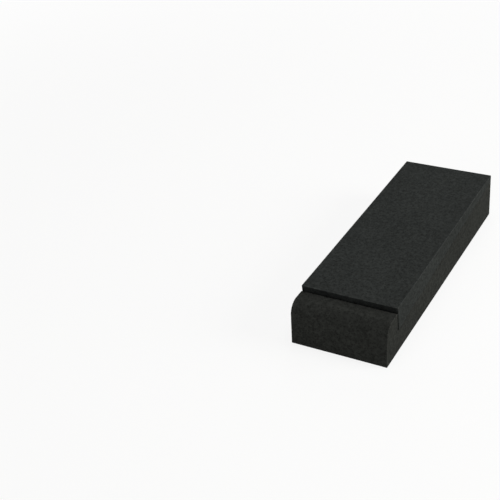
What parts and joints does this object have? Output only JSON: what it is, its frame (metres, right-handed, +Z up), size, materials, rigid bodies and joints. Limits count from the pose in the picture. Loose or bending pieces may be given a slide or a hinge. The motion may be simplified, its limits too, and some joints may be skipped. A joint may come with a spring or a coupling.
{
  "type": "speaker isolation pad",
  "caption": "Foam pad that holds a speaker off a desk: a base with a rounded nose and a sloping seat, and a loose wedge insert on it that makes the top level.",
  "frame": {"origin": "middle of the footprint, on the underside that rests on the desk", "axes": "+Y along the pad from the nose to the back end, +X across it, +Z up"},
  "size_m": [0.1016, 0.3048, 0.0508],
  "materials": {
    "base_foam": "matte open-cell foam, charcoal, finely pitted",
    "insert_foam": "matte open-cell foam, charcoal, finely pitted"
  },
  "bodies": {
    "root": {"base_pad": "base_foam", "wedge_insert": "insert_foam"}
  },
  "joints": []
}
